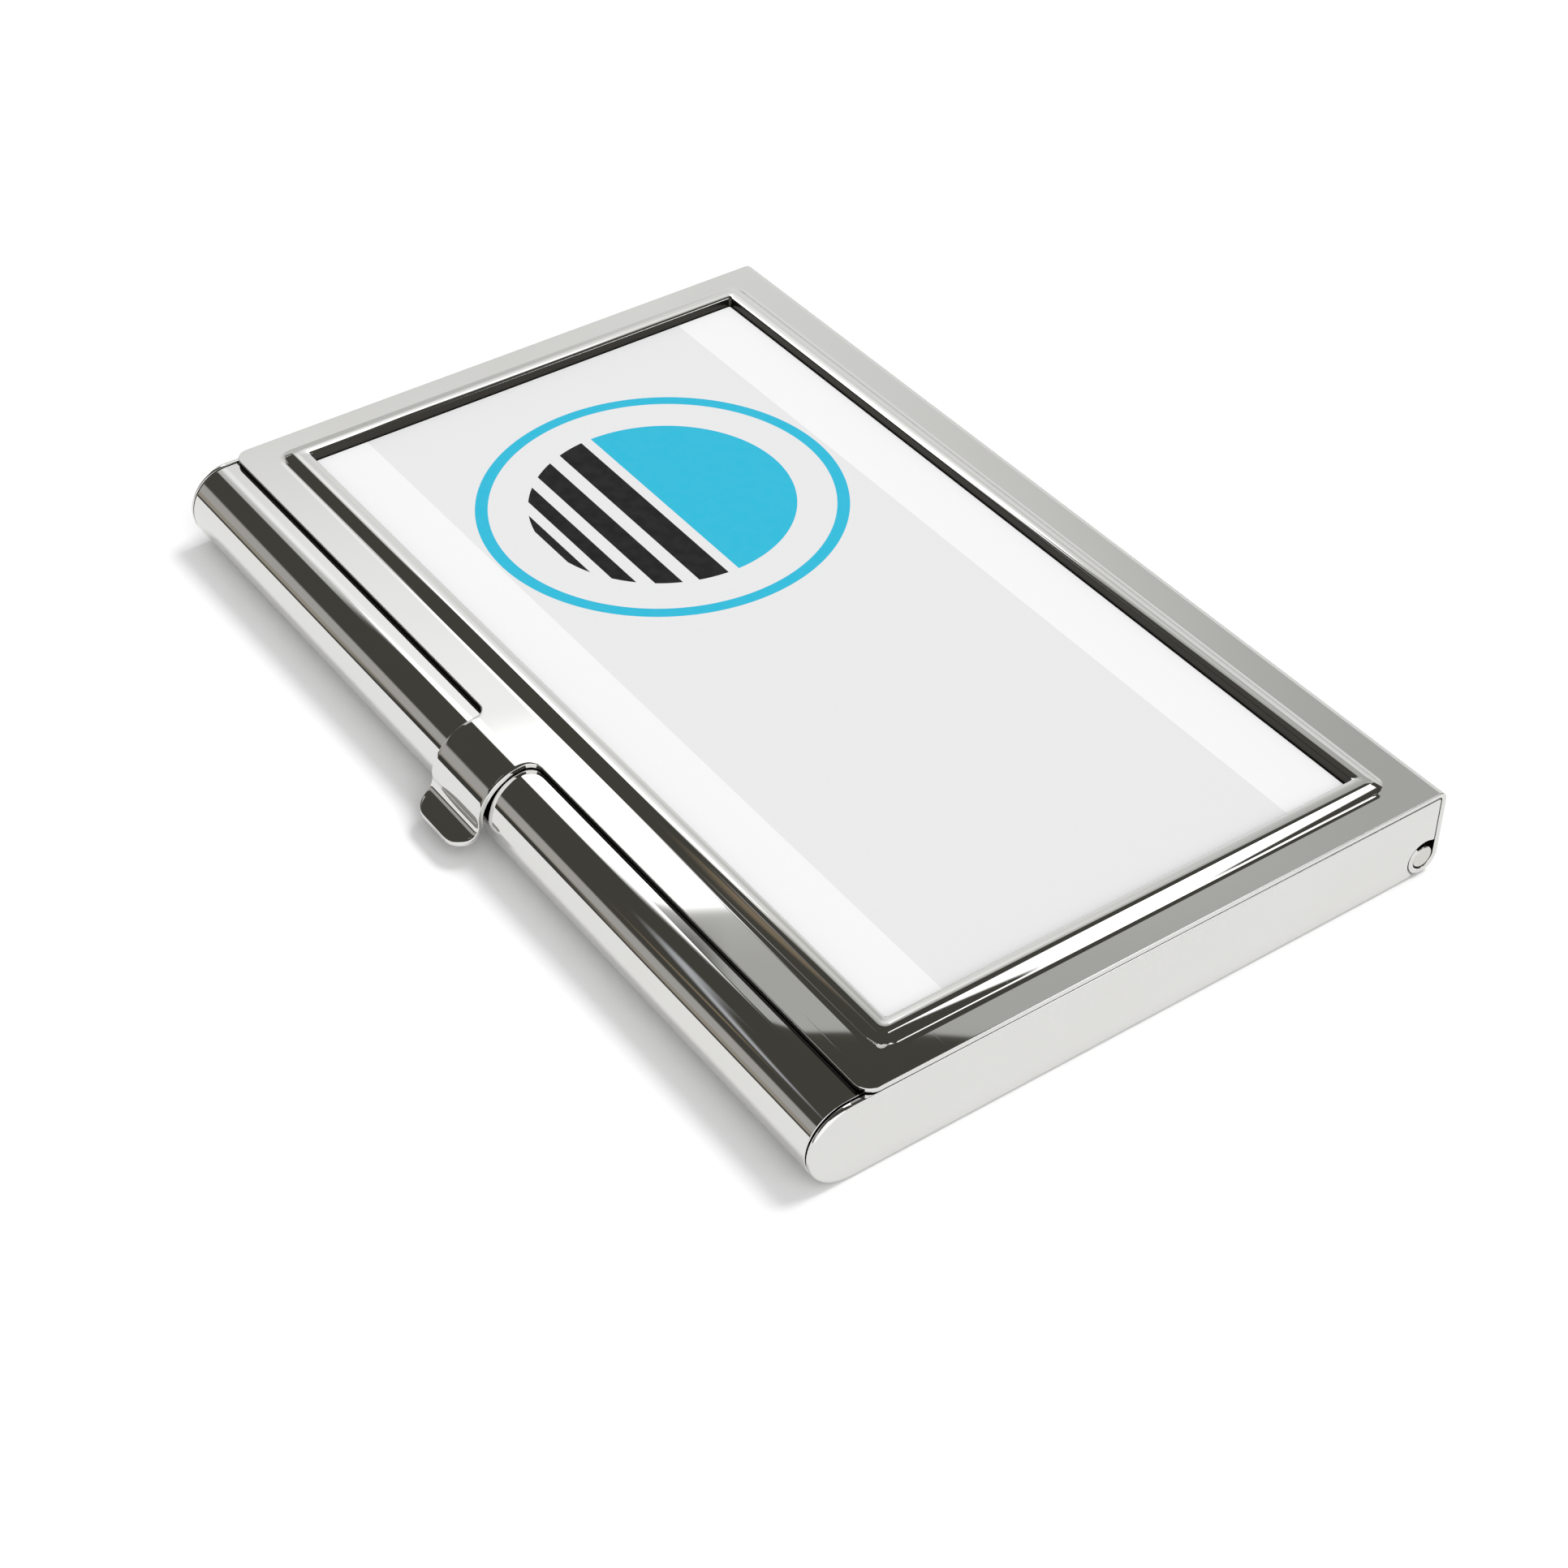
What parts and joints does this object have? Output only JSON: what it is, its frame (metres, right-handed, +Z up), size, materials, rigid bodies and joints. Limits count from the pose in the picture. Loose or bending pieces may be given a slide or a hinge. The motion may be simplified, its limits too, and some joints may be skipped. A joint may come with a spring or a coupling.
{
  "type": "business card case",
  "caption": "Slim polished steel business card case with a hinged lid, thumb tab and a white printed insert in a raised frame.",
  "frame": {"origin": "centre of the closed case's footprint, thumb tab included, on the surface that the case lies on", "axes": "+X along the case's length, -Y towards the thumb tab, +Y towards the hinge, +Z up through the printed insert"},
  "size_m": [0.094, 0.063, 0.0087],
  "materials": {
    "polished_steel": "mirror-polished stainless steel",
    "pin_steel": "drawn steel wire with cut ends",
    "printed_plate": "white gloss print coat on a thin aluminium plate, with a grey band and a cyan and black motif",
    "adhesive": "double-sided adhesive film"
  },
  "bodies": {
    "base": {"tray_shell": "polished_steel", "hinge_pin": "pin_steel"},
    "lid": {"lid_shell": "polished_steel", "insert_plate": "printed_plate", "insert_adhesive": "adhesive"}
  },
  "joints": [
    {"name": "lid_hinge", "type": "hinge", "parent": "base", "child": "lid", "pos_m": [0, 0.03, 0.00175], "axis": [-1, 0, 0], "range_deg": [0, 90]}
  ]
}
